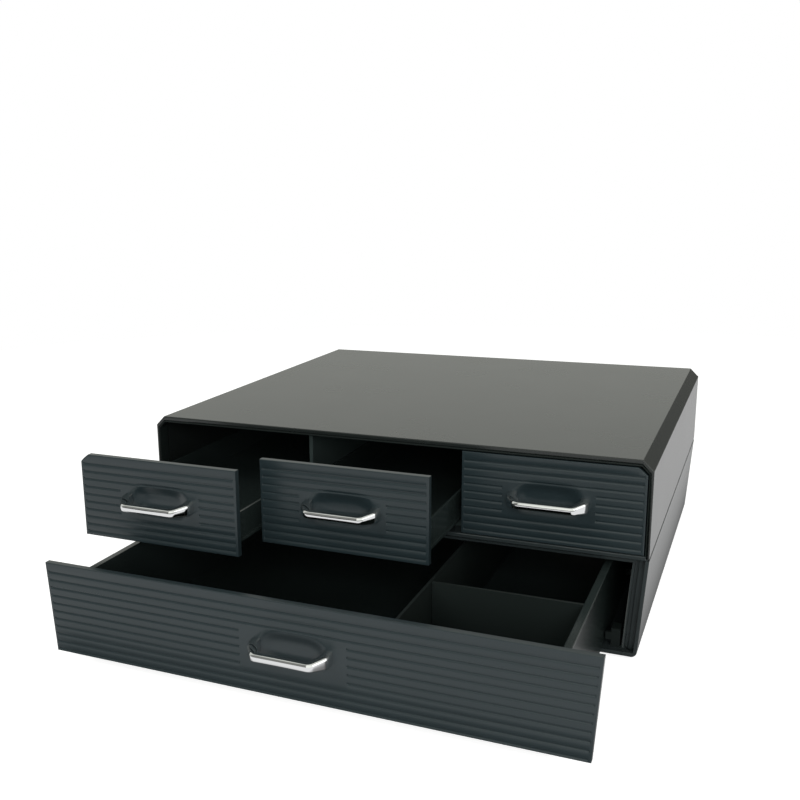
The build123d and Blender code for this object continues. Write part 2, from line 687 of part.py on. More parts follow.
with BuildPart() as wide_tray:
    tray_middle = (0, (y_wide_rear + y_wide_end) / 2)
    with BuildSketch(Plane.XY.offset(wide_tray_z)):
        with Locations(tray_middle):
            Rectangle(2 * wide_tray_half, wide_tray_length)
    extrude(amount=wide_tray_height)
    with BuildSketch(Plane.XY.offset(wide_rim_z)):
        with Locations(tray_middle):
            Rectangle(2 * (wide_tray_half + rim_overhang), wide_tray_length)
    extrude(amount=-rim_thickness)
    with BuildSketch(Plane.XY.offset(z_wide_floor)):
        with Locations(tray_middle):
            Rectangle(2 * wide_inside_half, wide_tray_length - 2 * wide_tray_wall)
    extrude(amount=wide_tray_height, mode=Mode.SUBTRACT)
    y_lug = y_block + hook_thickness + wide_travel - wide_open
    with BuildSketch(upright(y_lug + wide_lug_length)):
        for side in (-1, 1):
            with Locations((side * (wide_tray_half + wide_lug_reach / 2), z_hook)):
                Rectangle(wide_lug_reach, hook_height)
    extrude(amount=wide_lug_length)
    with BuildSketch(upright(y_wide_inside)):
        with Locations(*wide_handle_points, *wide_front_points):
            Circle(screw_radius + hole_gap)
    extrude(amount=wide_tray_wall, mode=Mode.SUBTRACT)
save(wide_tray, "wide_drawer_tray")

divider_height = wide_rim_z - divider_drop - z_wide_floor
with BuildPart() as long_divider:
    with BuildSketch(Plane.XY.offset(z_wide_floor)):
        with Locations((long_divider_x, (y_wide_inside + y_wide_end - wide_tray_wall) / 2)):
            Rectangle(divider_thickness, wide_tray_length - 2 * wide_tray_wall - 2 * fit_gap)
    extrude(amount=divider_height)
save(long_divider, "long_divider")

cross_start = long_divider_x + divider_thickness / 2 + fit_gap
with BuildPart() as cross_divider:
    with BuildSketch(Plane.XY.offset(z_wide_floor)):
        with Locations(((cross_start + wide_inside_half - fit_gap) / 2, y_wide + cross_divider_y)):
            Rectangle(wide_inside_half - fit_gap - cross_start, divider_thickness)
    extrude(amount=divider_height)
save(cross_divider, "cross_divider")

drawer_handle("wide_drawer_handle", 0, y_wide, wide_handle_z, handle_screw_bite + fit_gap)
screw_group("wide_drawer_handle_screws", y_wide_inside,
            wide_tray_wall + wide_front_thickness + handle_screw_bite, wide_handle_points)
screw_group("wide_drawer_front_screws", y_wide_inside, wide_tray_wall + front_screw_bite, wide_front_points)
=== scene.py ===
"""Looks of a two-tier drawer unit for coffee capsules and tea bags, around its fixed CAD frame.

Metres, Z up, drawer fronts towards -Y. Sizes inside the shape functions are real millimetres.
"""
import json
import math

import bmesh
import bpy
import numpy as np
from mathutils import Matrix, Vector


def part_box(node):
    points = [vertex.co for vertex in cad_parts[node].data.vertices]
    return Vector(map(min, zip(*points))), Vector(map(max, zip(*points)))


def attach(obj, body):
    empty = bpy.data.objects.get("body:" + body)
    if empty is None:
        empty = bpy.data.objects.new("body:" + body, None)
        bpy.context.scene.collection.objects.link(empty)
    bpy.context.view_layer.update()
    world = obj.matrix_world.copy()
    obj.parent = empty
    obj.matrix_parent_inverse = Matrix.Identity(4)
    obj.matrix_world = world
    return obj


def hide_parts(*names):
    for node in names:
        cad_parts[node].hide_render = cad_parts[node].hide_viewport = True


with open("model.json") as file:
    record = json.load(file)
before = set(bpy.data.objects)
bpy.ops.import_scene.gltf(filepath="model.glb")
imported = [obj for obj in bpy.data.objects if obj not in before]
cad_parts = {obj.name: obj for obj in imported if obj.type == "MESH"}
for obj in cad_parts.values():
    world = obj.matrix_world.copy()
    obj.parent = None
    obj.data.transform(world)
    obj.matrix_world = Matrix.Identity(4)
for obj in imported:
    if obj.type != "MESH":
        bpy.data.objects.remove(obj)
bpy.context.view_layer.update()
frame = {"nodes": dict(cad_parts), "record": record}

MM = 0.001        # in metres
METRE = 1000.0    # in millimetres

# ---------------------------------------------------------------- camera
CAMERA_PLACE = (0.24111, -0.76717, 0.29925)
CAMERA_YAW, CAMERA_PITCH, CAMERA_ROLL = 0.42187, 0.23528, -0.01769   # left, down, anticlockwise; radians
FOCAL_PIXELS = 989.78
IMAGE_SIDE = 800
OPTICAL_CENTRE = (337.71, 421.31)   # pixels from the left and from the top
SENSOR_WIDTH = 36.0                 # mm


def studio_camera():
    """Camera at its place, turned by yaw, pitch and roll, its view shifted to the optical centre."""
    yaw, pitch, roll = CAMERA_YAW, CAMERA_PITCH, CAMERA_ROLL
    forward = np.array([
        -math.sin(yaw) * math.cos(pitch), math.cos(yaw) * math.cos(pitch), -math.sin(pitch)])
    level_right = np.array([math.cos(yaw), math.sin(yaw), 0.0])
    level_up = np.cross(level_right, forward)
    right = level_right * math.cos(roll) + level_up * math.sin(roll)
    up = level_up * math.cos(roll) - level_right * math.sin(roll)
    turned = np.eye(4)
    turned[:3, 0], turned[:3, 1], turned[:3, 2] = right, up, -forward
    turned[:3, 3] = CAMERA_PLACE
    lens = bpy.data.cameras.new("camera")
    lens.sensor_fit = "HORIZONTAL"
    lens.sensor_width = SENSOR_WIDTH
    lens.lens = FOCAL_PIXELS / IMAGE_SIDE * lens.sensor_width
    lens.shift_x = (IMAGE_SIDE / 2 - OPTICAL_CENTRE[0]) / IMAGE_SIDE
    lens.shift_y = (OPTICAL_CENTRE[1] - IMAGE_SIDE / 2) / IMAGE_SIDE
    camera = bpy.data.objects.new("camera", lens)
    camera.matrix_world = Matrix(turned.tolist())
    bpy.context.scene.collection.objects.link(camera)
    bpy.context.scene.camera = camera


studio_camera()


# ---------------------------------------------------------------- materials
def linear(hex_colour):
    """sRGB hex to linear RGBA."""
    values = [int(hex_colour[i:i + 2], 16) / 255 for i in (1, 3, 5)]
    return [v / 12.92 if v <= 0.04045 else ((v + 0.055) / 1.055) ** 2.4 for v in values] + [1.0]


def add_node(tree, kind, inputs=None, **settings):
    """Adds a node, sets its properties, and feeds each named input with a value or another output."""
    new = tree.nodes.new(kind)
    for key, value in settings.items():
        setattr(new, key, value)
    for socket, source in (inputs or {}).items():
        if isinstance(source, bpy.types.NodeSocket):
            tree.links.new(source, new.inputs[socket])
        else:
            new.inputs[socket].default_value = source
    return new


def per_metre(millimetres):
    """Noise scale whose cells are about this wide, on Object coordinates in metres."""
    return METRE / millimetres


def new_material(name):
    """An empty node material, its tree, and the place on the object, in metres."""
    material = bpy.data.materials.new(name)
    material.use_nodes = True
    tree = material.node_tree
    tree.nodes.clear()
    return material, tree, add_node(tree, "ShaderNodeTexCoord").outputs["Object"]


FLOW_MM, HANDLING_MM = 70, 45            # cells of the flow clouds and of the handled sheen
HANDLING_LOW, HANDLING_HIGH = 0.2, 0.8   # noise over which the sheen changes
HANDLING_DRIFT = 0.008                   # change of roughness, up and down
ABS_IOR = 1.52


def moulded_abs(name, colour, tint, roughness, grain_mm, grain_depth_mm, sheen_level=0.5):
    """Injection-moulded ABS: spark-eroded grain, faint flow clouds, a soft satin highlight."""
    material, tree, place = new_material(name)
    clouds = add_node(tree, "ShaderNodeTexNoise", {
        "Vector": place, "Scale": per_metre(FLOW_MM), "Detail": 3.0, "Roughness": 0.55})
    clouded = add_node(tree, "ShaderNodeMix", {
        "Factor": clouds.outputs["Fac"], "A": linear(colour), "B": linear(tint)}, data_type="RGBA")
    handling = add_node(tree, "ShaderNodeTexNoise", {
        "Vector": place, "Scale": per_metre(HANDLING_MM), "Detail": 3.0, "Roughness": 0.5})
    gloss = add_node(tree, "ShaderNodeMapRange", {
        "Value": handling.outputs["Fac"], "From Min": HANDLING_LOW, "From Max": HANDLING_HIGH,
        "To Min": roughness - HANDLING_DRIFT, "To Max": roughness + HANDLING_DRIFT})
    grain = add_node(tree, "ShaderNodeTexNoise", {
        "Vector": place, "Scale": per_metre(grain_mm), "Detail": 2.0, "Roughness": 0.5})
    bump = add_node(tree, "ShaderNodeBump", {
        "Height": grain.outputs["Fac"], "Strength": 1.0, "Distance": grain_depth_mm * MM})
    plastic = add_node(tree, "ShaderNodeBsdfPrincipled", {
        "Base Color": clouded.outputs["Result"], "Roughness": gloss.outputs["Result"],
        "IOR": ABS_IOR, "Specular IOR Level": sheen_level, "Normal": bump.outputs["Normal"]})
    add_node(tree, "ShaderNodeOutputMaterial", {"Surface": plastic.outputs[0]})
    return material


def chrome_plate(name):
    """Bright nickel-chrome over a die-cast bow: a mirror, faintly rippled like the polished casting."""
    ripple_mm, ripple_depth_mm, haze_mm = 9, 0.008, 3
    clearest, haziest = 0.04, 0.08
    material, tree, place = new_material(name)
    ripple = add_node(tree, "ShaderNodeTexNoise", {
        "Vector": place, "Scale": per_metre(ripple_mm), "Detail": 1.0})
    haze = add_node(tree, "ShaderNodeTexNoise", {
        "Vector": place, "Scale": per_metre(haze_mm), "Detail": 4.0})
    gloss = add_node(tree, "ShaderNodeMapRange", {
        "Value": haze.outputs["Fac"], "To Min": clearest, "To Max": haziest})
    bump = add_node(tree, "ShaderNodeBump", {
        "Height": ripple.outputs["Fac"], "Strength": 1.0, "Distance": ripple_depth_mm * MM})
    metal = add_node(tree, "ShaderNodeBsdfPrincipled", {
        "Base Color": linear("#e4e5e6"), "Metallic": 1.0, "Roughness": gloss.outputs["Result"],
        "Normal": bump.outputs["Normal"]})
    add_node(tree, "ShaderNodeOutputMaterial", {"Surface": metal.outputs[0]})
    return material


def zinc_plate(name):
    """Zinc-plated steel screw: cloudy blue-grey passivation over drawn wire."""
    cloud_mm = 1.2
    smoothest, roughest = 0.28, 0.5
    material, tree, place = new_material(name)
    cloud = add_node(tree, "ShaderNodeTexNoise", {
        "Vector": place, "Scale": per_metre(cloud_mm), "Detail": 4.0})
    colour = add_node(tree, "ShaderNodeMix", {
        "Factor": cloud.outputs["Fac"], "A": linear("#8f9499"), "B": linear("#b9bcbd")}, data_type="RGBA")
    gloss = add_node(tree, "ShaderNodeMapRange", {
        "Value": cloud.outputs["Fac"], "To Min": smoothest, "To Max": roughest})
    metal = add_node(tree, "ShaderNodeBsdfPrincipled", {
        "Base Color": colour.outputs["Result"], "Metallic": 1.0, "Roughness": gloss.outputs["Result"]})
    add_node(tree, "ShaderNodeOutputMaterial", {"Surface": metal.outputs[0]})
    return material


def moulded_rubber(name):
    """Matt black rubber foot with a dusty, finely pitted skin."""
    pit_mm, pit_depth_mm = 0.8, 0.06
    material, tree, place = new_material(name)
    pits = add_node(tree, "ShaderNodeTexNoise", {
        "Vector": place, "Scale": per_metre(pit_mm), "Detail": 3.0})
    dust = add_node(tree, "ShaderNodeMix", {
        "Factor": pits.outputs["Fac"], "A": linear("#1a1a1a"), "B": linear("#2b2a29")}, data_type="RGBA")
    bump = add_node(tree, "ShaderNodeBump", {
        "Height": pits.outputs["Fac"], "Strength": 1.0, "Distance": pit_depth_mm * MM})
    skin = add_node(tree, "ShaderNodeBsdfPrincipled", {
        "Base Color": dust.outputs["Result"], "Roughness": 0.85, "Normal": bump.outputs["Normal"]})
    add_node(tree, "ShaderNodeOutputMaterial", {"Surface": skin.outputs[0]})
    return material


# Colour, tint of its clouds, roughness, grain width and depth in mm, strength of the highlight.
# The real grain is about 0.15 mm; it is drawn at 0.5 mm and more so that it shows at all.

# Upper cover and its back panel: black, a fine grain that softens a clear highlight.
case_abs = moulded_abs("satin_grained_abs_case", "#1a1e1d", "#1e2221", 0.27, 0.55, 0.0010)
# Lower case, its back panel and the shelf: the same skin, a shade paler.
lower_abs = moulded_abs("satin_grained_abs_lower_case", "#252b2c", "#292f30", 0.27, 0.55, 0.0010)
# Mouth frame, dividers and guide blocks: a dull skin with hardly any highlight, and a deeper black that
# is partly painted shade, for the shade inside the mouth.
matt_shaded_case_abs = moulded_abs("matt_abs_case_frame_with_painted_shade", "#161b1a", "#1a1f1e", 0.48, 0.6, 0.004, 0.15)
# Drawer fronts: blue-black and satin, so that each ribbed line catches a soft edge of light.
front_abs = moulded_abs("satin_moulded_abs_front", "#1f282b", "#222c2f", 0.30, 0.5, 0.004, 0.45)
# Trays: from a polished tool, smooth, with the sharpest highlights.
tray_abs = moulded_abs("smooth_moulded_abs_tray", "#1f2625", "#232a29", 0.23, 1.4, 0.002, 0.4)
# Partitions and runners: dull dark grey.
inner_abs = moulded_abs("moulded_abs_inner_frame", "#2f3837", "#333c3b", 0.50, 0.6, 0.004, 0.25)
chrome = chrome_plate("nickel_chrome_plated_handle")
zinc = zinc_plate("zinc_plated_steel_screw")
rubber = moulded_rubber("moulded_black_rubber_foot")

SLOT_MATERIALS = {
    "case_shell": case_abs, "inner_plastic": inner_abs, "runner_plastic": inner_abs,
    "drawer_front": front_abs, "tray_plastic": tray_abs,
    "handle_chrome": chrome, "screws": zinc, "feet": rubber,
}
NODE_MATERIALS = {   # nodes that differ from their slot
    "lower_case": lower_abs, "lower_back_panel": lower_abs, "middle_shelf": lower_abs,
    # the mouth frame, dividers and guide blocks take the darker skin, partly painted shade
    "upper_mouth_frame": matt_shaded_case_abs, "long_divider": matt_shaded_case_abs, "cross_divider": matt_shaded_case_abs,
    "guide_block_left": matt_shaded_case_abs, "guide_block_right": matt_shaded_case_abs,
}
slots = {part["node"]: part["material_slot"] for part in frame["record"]["subparts"]}
bodies = {node: body for body, members in frame["record"]["behaviour"]["bodies"].items()
          for node in members}
node_materials = {node: NODE_MATERIALS.get(node, SLOT_MATERIALS[slot]) for node, slot in slots.items()}
for node, material in node_materials.items():
    mesh = frame["nodes"][node].data
    mesh.materials.clear()
    mesh.materials.append(material)


# ---------------------------------------------------------------- building surfaces
SAME_POINT = 0.002   # points nearer than this are one, mm


def without_doubles(mesh):
    """Merges points that lie on each other, which also drops the faces that had no width."""
    merged = bmesh.new()
    merged.from_mesh(mesh)
    bmesh.ops.remove_doubles(merged, verts=merged.verts, dist=SAME_POINT * MM)
    merged.to_mesh(mesh)
    merged.free()


def finished_piece(mesh, material, sharp_degrees):
    """Object at the origin with smooth shading, broken at edges sharper than the angle given."""
    mesh.polygons.foreach_set("use_smooth", np.ones(len(mesh.polygons), dtype=bool))
    mesh.set_sharp_from_angle(angle=math.radians(sharp_degrees))
    mesh.materials.append(material)
    piece = bpy.data.objects.new(mesh.name, mesh)
    bpy.context.scene.collection.objects.link(piece)
    return piece


def grid_faces(rows, columns):
    """Quads between neighbouring points of a grid, row by row."""
    r = np.arange(rows - 1)[:, None]
    c = np.arange(columns - 1)[None, :]
    above = r + 1
    corners = [r * columns + c, r * columns + c + 1, above * columns + c + 1, above * columns + c]
    return np.stack(corners, axis=-1).reshape(-1, 4)


def steps(start, end, about):
    """Evenly spaced values from start to end, spaced by about that much."""
    return np.linspace(start, end, max(2, int(round(abs(end - start) / about)) + 1))


def merged_levels(values, closest):
    """Sorted values, without those nearer than closest to the one before."""
    ordered = np.sort(np.concatenate(values))
    keep = np.concatenate([[True], np.diff(ordered) > closest])
    return ordered[keep]


# ---------------------------------------------------------------- softened mouldings
EDGE_TURN = 30        # edges are rounded where their faces turn by more, degrees
SHORTEST_EDGE = 3.0   # and where they are longer, mm
EDGE_SEGMENTS = 3
SMOOTH_TURN = 32      # shading breaks at edges that turn by more, degrees


def softened(node, radius):
    """The node's own moulding with its long sharp edges rounded, as they leave the mould.

    The rounding blends into its two faces, whose own shading stays flat.
    """
    source = frame["nodes"][node]
    mesh = source.data.copy()
    mesh.name = f"{node}_softened"
    without_doubles(mesh)
    moulding = bmesh.new()
    moulding.from_mesh(mesh)
    angles = np.array([edge.calc_face_angle(0.0) for edge in moulding.edges])
    moulding.free()
    ends = np.empty(2 * len(mesh.edges), dtype=np.int32)
    mesh.edges.foreach_get("vertices", ends)
    points = np.empty(3 * len(mesh.vertices), dtype=np.float32)
    mesh.vertices.foreach_get("co", points)
    points = points.reshape(-1, 3)
    lengths = np.linalg.norm(points[ends[::2]] - points[ends[1::2]], axis=1) / MM
    weight = ((angles > math.radians(EDGE_TURN)) & (lengths > SHORTEST_EDGE)).astype(np.float32)
    mesh.attributes.new("bevel_weight_edge", "FLOAT", "EDGE").data.foreach_set("value", weight)
    piece = finished_piece(mesh, node_materials[node], SMOOTH_TURN)
    rounding = piece.modifiers.new("moulded_edge", "BEVEL")
    rounding.limit_method = "WEIGHT"
    rounding.width = radius * MM
    rounding.segments = EDGE_SEGMENTS
    rounding.use_clamp_overlap = False
    weld = piece.modifiers.new("no_slivers", "WELD")
    weld.merge_threshold = SAME_POINT * MM
    flat = piece.modifiers.new("flat_faces_stay_flat", "WEIGHTED_NORMAL")
    flat.keep_sharp = True
    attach(piece, bodies[node])
    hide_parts(node)


SOFT_EDGES = {   # node: edge radius, mm
    "upper_cover": 0.7, "upper_mouth_frame": 0.4, "middle_shelf": 0.7, "lower_case": 0.2,
    "partition_left": 0.3, "partition_right": 0.3, "long_divider": 0.4, "cross_divider": 0.4,
    "left_drawer_tray": 0.35, "centre_drawer_tray": 0.35, "right_drawer_tray": 0.35,
    "wide_drawer_tray": 0.4,
}
for node, radius in SOFT_EDGES.items():
    softened(node, radius)

# ---------------------------------------------------------------- drawer fronts
# All in mm, unless said.
LINE_PITCH = 5.27          # ribbed lines
LINE_MARGIN = 5.2          # first line, below the top edge
LINE_END = 1.6             # lines stop short of the edges
LINE_FADE = 0.3            # and end over this width
LINE_BELOW = np.array([-0.12, 0.0, 0.05, 0.85, 1.0, 1.5, 2.1])   # heights below a line
LINE_DEPTH = np.array([0.0, 0.06, 0.60, 0.66, 0.42, 0.16, 0.0])  # and depths there
LINE_LOW_FADE = 0.8        # lines fade out over this height above the lower edge
WHOLE_LINES = 3            # unbroken lines above the smooth zone
EDGE_ROUND = 0.5
EDGE_STEPS = np.array([0.0, 0.02, 0.07, 0.15, 0.26, 0.4, 0.5])
FADE_STEPS = np.array([0.0, 0.1, 0.2, 0.3, 0.6])
END_LEAD = 0.05            # a row of points this far outside the lines' ends
RECESS_OUTLINE = ((-17.5, 15.4), (17.5, 15.4), (25.5, 7.0), (20.5, -10.5), (-20.5, -10.5), (-25.5, 7.0))
RECESS_DEPTH = 3.2
RECESS_WALL = 11.5         # width of the sloping wall
RECESS_BLEND = 2.0         # rounding of the outline's corners
RECESS_STEP, RECESS_RIM = 0.45, 0.4   # spacing of the points, and how far they go past the outline
PLAIN_STEP = 6.0           # spacing of the points elsewhere
CLOSEST_POINTS = 0.015
FRONT_TURN = 40            # shading breaks at edges that turn by more, degrees
HANDLE_HALF_HEIGHT = 4.3   # handle's feet, from their middle
CORNER = 5.0               # chamfered outer corner of the outer small fronts
LEAN_START = 40.0          # the front's middle stays upright out to here
CASE_LEAN = 4.5 / 65.7     # the lower case leans in by this much per height, a ratio
# Lines, lines broken by the smooth zone, its width, and how far the handle's feet sit above its middle.
SMALL_FRONT = {"line_count": 10, "zone_lines": 4, "zone_width": 59.6, "handle_raise": 1.4}
WIDE_FRONT = {"line_count": 11, "zone_lines": 5, "zone_width": 69.0, "handle_raise": 2.6,
              "lean": CASE_LEAN}


def line_relief(below_top, line_count):
    """Which line a point belongs to, and the lines' depth there: the same overhang, lip and run-out
    repeated at each pitch down the front."""
    below = below_top - LINE_MARGIN
    index = np.clip(np.floor((below - LINE_BELOW[0]) / LINE_PITCH), 0, line_count - 1)
    return index, np.interp(below - index * LINE_PITCH, LINE_BELOW, LINE_DEPTH, left=0.0, right=0.0)


def recess_relief(x, z):
    """Depth of the finger recess: a soft dish. An S-shaped wall follows the distance inside a six-sided
    outline, whose corners are blended by a smooth minimum of the distances to its sides."""
    corners = np.array(RECESS_OUTLINE)
    sides = np.roll(corners, -1, axis=0) - corners
    lengths = np.hypot(sides[:, 0], sides[:, 1])
    distances = np.stack([(sz * (x - cx) - sx * (z - cz)) / length
                          for (cx, cz), (sx, sz), length in zip(corners, sides, lengths)])
    inside = -RECESS_BLEND * np.log(np.exp(-distances / RECESS_BLEND).sum(axis=0))
    t = np.clip(inside / RECESS_WALL, 0, 1)
    return RECESS_DEPTH * t ** 3 * (t * (6 * t - 15) + 10)


def drawer_front(drawer, line_count, zone_lines, zone_width, handle_raise, corner_side=0, lean=0.0):
    """Front panel: a sheet of depths over x and z, wrapped round the edges and closed at the back.

    Depth at a point = rounding near the outline + ribbed lines, faded out at their ends and in the
    smooth zone + finger recess. The sheet leans at its ends with the case, and its top row drops
    along the chamfered corner. corner_side is -1, 0 or 1: left, none or right. handle_raise is from
    the middle of the smooth zone to the middle of the handle's feet.
    """
    low, high = [np.array(c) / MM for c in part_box(f"{drawer}_drawer_front")]
    handle_low, handle_high = [np.array(c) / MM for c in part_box(f"{drawer}_drawer_handle")]
    middle = (low[0] + high[0]) / 2
    handle_x = (handle_low[0] + handle_high[0]) / 2
    zone_z = handle_low[2] + HANDLE_HALF_HEIGHT - handle_raise
    half = (high[0] - low[0]) / 2
    z_lines = [np.clip(high[2] - LINE_MARGIN - i * LINE_PITCH - LINE_BELOW, low[2], high[2])
               for i in range(line_count)]
    recess_z = [z for _, z in RECESS_OUTLINE]
    recess_x = [x for x, _ in RECESS_OUTLINE]
    z = merged_levels(z_lines + [
        low[2] + EDGE_STEPS, high[2] - EDGE_STEPS,
        zone_z + steps(min(recess_z) - RECESS_RIM, max(recess_z) + RECESS_RIM, RECESS_STEP)],
        CLOSEST_POINTS)
    z[0], z[-1] = low[2], high[2]
    end_steps = LINE_END + np.concatenate([[-END_LEAD], FADE_STEPS])
    zone_edge = zone_width / 2 + np.concatenate([[-LINE_FADE], FADE_STEPS])
    x = merged_levels([
        middle - half + EDGE_STEPS, middle + half - EDGE_STEPS,
        middle - half + end_steps, middle + half - end_steps,
        steps(middle - half, middle + half, PLAIN_STEP), handle_x - zone_edge, handle_x + zone_edge,
        handle_x + steps(min(recess_x) - RECESS_RIM, max(recess_x) + RECESS_RIM, RECESS_STEP)],
        CLOSEST_POINTS)
    x[0], x[-1] = middle - half, middle + half
    x, z = np.meshgrid(x, z)

    # the chamfered corner squeezes what lies above the first line
    corner = CORNER * abs(corner_side)
    from_corner = half - corner_side * (x - middle)
    top = high[2] - np.clip(corner - from_corner, 0, None) * (corner > 0)
    first_line = high[2] - LINE_MARGIN - LINE_BELOW[0]
    squeezed = first_line + (z - first_line) * (top - first_line) / (high[2] - first_line)
    z = np.where(z > first_line, squeezed, z)

    from_side = half - np.abs(x - middle)
    outline = np.minimum(np.minimum(from_side, high[2] - z), z - low[2])
    if corner:
        outline = np.minimum(outline, np.abs(from_corner + (high[2] - z) - corner) / math.sqrt(2))
    inner = np.clip(EDGE_ROUND - outline, 0, EDGE_ROUND)
    rounding = EDGE_ROUND - np.sqrt(EDGE_ROUND ** 2 - inner ** 2)
    index, lines = line_relief(high[2] - z, line_count)
    fade = np.clip((from_side - LINE_END) / LINE_FADE, 0, 1)
    in_zone = (index >= WHOLE_LINES) & (index < WHOLE_LINES + zone_lines)
    zone_fade = np.clip((np.abs(x - handle_x) - zone_width / 2) / LINE_FADE, 0, 1)
    fade = fade * np.where(in_zone, zone_fade, 1.0) * np.clip((z - low[2]) / LINE_LOW_FADE, 0, 1)
    depth = rounding + lines * fade + recess_relief(x - handle_x, z - zone_z)

    sway = np.clip((np.abs(x - middle) - LEAN_START) / (half - LEAN_START), 0, 1) * np.sign(x - middle)
    x = x - sway * lean * (high[2] - z)
    front = np.stack([x, low[1] + depth, z], axis=-1)
    sheet = np.pad(front, ((1, 1), (1, 1), (0, 0)), mode="edge")
    sheet[0, :, 1] = sheet[-1, :, 1] = sheet[:, 0, 1] = sheet[:, -1, 1] = high[1]
    rows, columns = sheet.shape[:2]
    faces = grid_faces(rows, columns).tolist()
    ring = [np.arange(columns), np.arange(1, rows) * columns + columns - 1,
            (rows - 1) * columns + np.arange(columns - 2, -1, -1), np.arange(rows - 2, 0, -1) * columns]
    faces.append(np.concatenate(ring)[::-1].tolist())
    mesh = bpy.data.meshes.new(f"{drawer}_ribbed_front")
    mesh.from_pydata((sheet.reshape(-1, 3) * MM).tolist(), [], faces)
    without_doubles(mesh)
    return finished_piece(mesh, front_abs, FRONT_TURN)


front_pieces = {drawer: drawer_front(drawer, corner_side=side, **SMALL_FRONT)
                for drawer, side in (("left", -1), ("centre", 0), ("right", 1))}
front_pieces["wide"] = drawer_front("wide", **WIDE_FRONT)
for drawer, piece in front_pieces.items():
    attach(piece, f"{drawer}_drawer")
    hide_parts(f"{drawer}_drawer_front")

# ---------------------------------------------------------------- handles
# Half a bow in plan, from the foot to the middle of the bar: distance from the middle and reach, mm
BOW_OUTER = np.array([(26.2, 0.0), (26.2, 6.2), (18.9, 15.9), (0.0, 15.9)])
BOW_INNER = np.array([(20.5, 0.0), (20.5, 4.4), (15.4, 11.5), (0.0, 11.5)])
BOW_STATIONS = np.array([0.0, 6.2, 18.3, 37.2])   # lengths along the bow where those points lie
BOW_TOP = np.array([4.3, 3.3, 1.5, 1.5])          # heights there, from the middle of the feet
BOW_BOTTOM = np.array([-4.3, -4.2, -2.9, -2.8])
BEND_WINDOW, BEND_SAMPLES = 2.6, 21   # bends are averaged over this length to each side
BEND_REACH, BEND_STEP = 2.8, 0.35     # closer stations around a bend, and their spacing
STATION_STEP, CLOSEST_STATIONS = 1.6, 0.1
BAR_THICKNESS = 4.4
CROWN = 4.2          # radius of the outer face, seen from the end
CROWN_HEIGHT = 2.9   # height of the outer face on the bar
BEVEL = 1.3          # drop of the polished bevel above it
BEVEL_TILT = (18, 70)   # its surface turns from nearly upright to nearly flat, degrees
CRISP_EDGE = 0.05    # step between the face and the bevel
LOW_ROUND, LOW_END = 0.9, 14   # rounded lower edge, and where its arc ends, degrees
INNER_ROUND = 0.5
FACE_POINTS, LOW_POINTS, INNER_POINTS = 9, 6, 5
HANDLE_TURN = 28     # shading breaks at edges that turn by more, degrees


def bow_section():
    """Section of the bar in five parts: how far in from the outer face, and height above its foot, mm.

    From the underside: a rounded lower edge, a slightly crowned outer face, a crisp edge, a convex bevel,
    a flat top and the rounded inner edges. The face is a parabola; the other curves are arcs.
    """
    height = CROWN_HEIGHT + BEVEL
    middle = (LOW_ROUND + CROWN_HEIGHT) / 2
    z_face = np.linspace(LOW_ROUND, CROWN_HEIGHT, FACE_POINTS)
    face = np.stack([(z_face - middle) ** 2 / (2 * CROWN), z_face], axis=-1)
    q = np.radians(np.linspace(90, LOW_END, LOW_POINTS))
    low = np.stack([face[0, 0] + LOW_ROUND * (1 - np.cos(q)), LOW_ROUND * (1 - np.sin(q))], axis=-1)
    q = np.radians(np.linspace(*BEVEL_TILT, FACE_POINTS))
    radius = (BEVEL - CRISP_EDGE) / (np.sin(q[-1]) - np.sin(q[0]))
    bevel = np.stack([face[-1, 0] + CRISP_EDGE + radius * (np.cos(q[0]) - np.cos(q)),
                      CROWN_HEIGHT + CRISP_EDGE + radius * (np.sin(q) - np.sin(q[0]))], axis=-1)
    q = np.radians(np.linspace(90, 0, INNER_POINTS))
    inner_top = np.stack([BAR_THICKNESS - INNER_ROUND * (1 - np.cos(q)),
                          height - INNER_ROUND * (1 - np.sin(q))], axis=-1)
    inner_low = np.stack([inner_top[::-1, 0], INNER_ROUND * (1 - np.sin(q[::-1]))], axis=-1)
    return low, face, bevel, inner_top, inner_low


